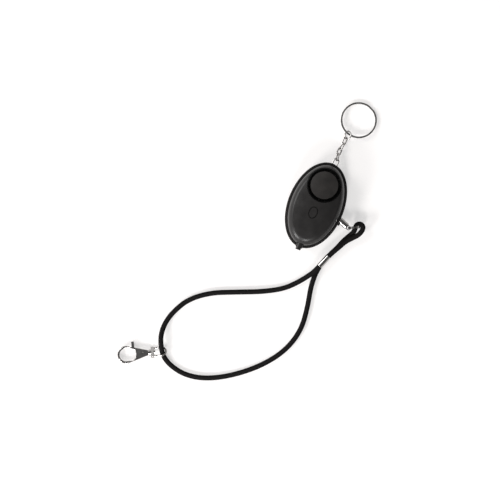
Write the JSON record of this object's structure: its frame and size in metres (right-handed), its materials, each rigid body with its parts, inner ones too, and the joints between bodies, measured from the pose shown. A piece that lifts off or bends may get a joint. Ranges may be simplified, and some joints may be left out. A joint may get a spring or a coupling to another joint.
{
  "type": "personal safety alarm",
  "caption": "Oval pocket alarm in black plastic with a round siren, light button, pull pin, braided wrist strap with a swivel clasp, and a key chain.",
  "frame": {"origin": "centre of the flat back face, which rests on the table", "axes": "+Y along the body towards the key chain, +X towards the pull pin, +Z out of the back face through the siren"},
  "size_m": [0.1257, 0.2294, 0.0215],
  "materials": {
    "case_black": "satin moulded",
    "siren_black": "polished",
    "cap_grey": "satin moulded",
    "chrome": "bright plated",
    "nickel": "bright",
    "brass": "bright",
    "copper": "enamelled wire",
    "ceramic_white": "silvered ceramic",
    "ferrite": "sintered",
    "board_green": "solder mask",
    "chip_black": "moulded",
    "tray_grey": "moulded",
    "insulator_tan": "turned",
    "gasket_black": "soft",
    "lead_red": "insulated wire",
    "lamp_clear": "clear",
    "cord_black": "round braid"
  },
  "bodies": {
    "case": {"front_shell": "case_black", "back_shell": "case_black", "speaker_well": "siren_black", "speaker_cap": "cap_grey", "piezo_gasket": "gasket_black", "piezo_plate": "brass", "piezo_ceramic": "ceramic_white", "piezo_clip_ring": "tray_grey", "piezo_leads": "lead_red", "switch_body": "chip_black", "circuit_board": "board_green", "driver_chip": "chip_black", "board_parts": "chip_black", "boost_coil_core": "ferrite", "boost_coil_winding": "copper", "button_cells": "nickel", "battery_tray": "tray_grey", "battery_contact": "nickel", "spring_plate": "nickel", "battery_spring": "nickel", "led_snout": "case_black", "led_lamp": "lamp_clear", "led_leads": "nickel", "pin_socket": "tray_grey", "upper_contact": "brass", "lower_contact": "brass", "chain_post": "nickel", "case_screws": "nickel"},
    "light_button": {"led_button": "case_black", "switch_plunger": "chip_black"},
    "pull_pin": {"pull_pin": "chrome", "pin_insulator": "insulator_tan", "pin_tip": "brass"},
    "pin_ring": {"pin_ring": "chrome"},
    "wrist_strap": {"strap_cord": "cord_black", "ferrule": "chrome"},
    "clasp_bow": {"clasp_bow": "chrome"},
    "clasp_hook": {"clasp_hook": "chrome", "clasp_rivet": "chrome", "lever_pin": "nickel"},
    "clasp_lever": {"clasp_lever": "chrome"},
    "body_link": {"body_link": "chrome"},
    "chain_link_1": {"chain_link_1": "chrome"},
    "chain_link_2": {"chain_link_2": "chrome"},
    "chain_link_3": {"chain_link_3": "chrome"},
    "chain_link_4": {"chain_link_4": "chrome"},
    "jump_ring": {"jump_ring": "chrome"},
    "key_ring": {"key_ring": "chrome"}
  },
  "joints": [
    {"name": "light_button_press", "type": "slide", "parent": "case", "child": "light_button", "axis": [0, 0, -1], "range_m": [0, 0.0006], "stiffness_N_per_m": 800, "springref_m": -0.0003},
    {"name": "pull_pin_slide", "type": "slide", "parent": "case", "child": "pull_pin", "axis": [0.9397, -0.342, 0], "range_m": [0, 0.0125]},
    {"name": "pin_ring_swing", "type": "hinge", "parent": "pull_pin", "child": "pin_ring", "pos_m": [0.02667, -0.0058, 0.0056], "axis": [0, 0, 1], "range_deg": [-6, 30]},
    {"name": "strap_swing", "type": "hinge", "parent": "pin_ring", "child": "wrist_strap", "pos_m": [0.03353, -0.00231, 0.0056], "axis": [0, 0, 1], "range_deg": [-4, 8]},
    {"name": "clasp_bow_tilt", "type": "hinge", "parent": "wrist_strap", "child": "clasp_bow", "pos_m": [-0.05946, -0.13354, 0.00359], "axis": [0.4988, -0.7189, -0.4841], "range_deg": [-40, 40]},
    {"name": "clasp_swivel", "type": "hinge", "parent": "clasp_bow", "child": "clasp_hook", "pos_m": [-0.0654, -0.1367, 0.003], "axis": [-0.8826, -0.4693, -0.0279], "continuous": true},
    {"name": "clasp_gate_open", "type": "hinge", "parent": "clasp_hook", "child": "clasp_lever", "pos_m": [-0.07151, -0.13927, 0.00282], "axis": [-0.0247, -0.0131, 0.9996], "range_deg": [0, 14], "stiffness_Nm_per_rad": 0.02, "springref_deg": -8.59},
    {"name": "chain_post_swing", "type": "hinge", "parent": "case", "child": "body_link", "pos_m": [0.0008, 0.0273, 0.0056], "axis": [0, 0, 1], "range_deg": [-12, 12]},
    {"name": "chain_link_1_swing", "type": "hinge", "parent": "body_link", "child": "chain_link_1", "pos_m": [0.00135, 0.03518, 0.0056], "axis": [0.9976, -0.0698, 0], "range_deg": [-15, 15]},
    {"name": "chain_link_2_swing", "type": "hinge", "parent": "chain_link_1", "child": "chain_link_2", "pos_m": [0.00062, 0.03896, 0.00372], "axis": [0.339, 0.4706, 0.8146], "range_deg": [-28, 28]},
    {"name": "chain_link_3_swing", "type": "hinge", "parent": "chain_link_2", "child": "chain_link_3", "pos_m": [0.00076, 0.04292, 0.00212], "axis": [0.859, -0.2174, -0.4636], "range_deg": [-28, 28]},
    {"name": "chain_link_4_swing", "type": "hinge", "parent": "chain_link_3", "child": "chain_link_4", "pos_m": [0.00127, 0.04715, 0.00167], "axis": [0.5797, 0.0151, 0.8147], "range_deg": [-28, 28]},
    {"name": "jump_ring_swing", "type": "hinge", "parent": "chain_link_4", "child": "jump_ring", "pos_m": [0.00135, 0.05143, 0.00167], "axis": [0.7879, -0.0138, -0.6157], "range_deg": [-28, 28]},
    {"name": "key_ring_flap", "type": "hinge", "parent": "jump_ring", "child": "key_ring", "pos_m": [0.0022, 0.05404, 0.00301], "axis": [0.9744, -0.225, 0], "range_deg": [-35, 35]}
  ]
}
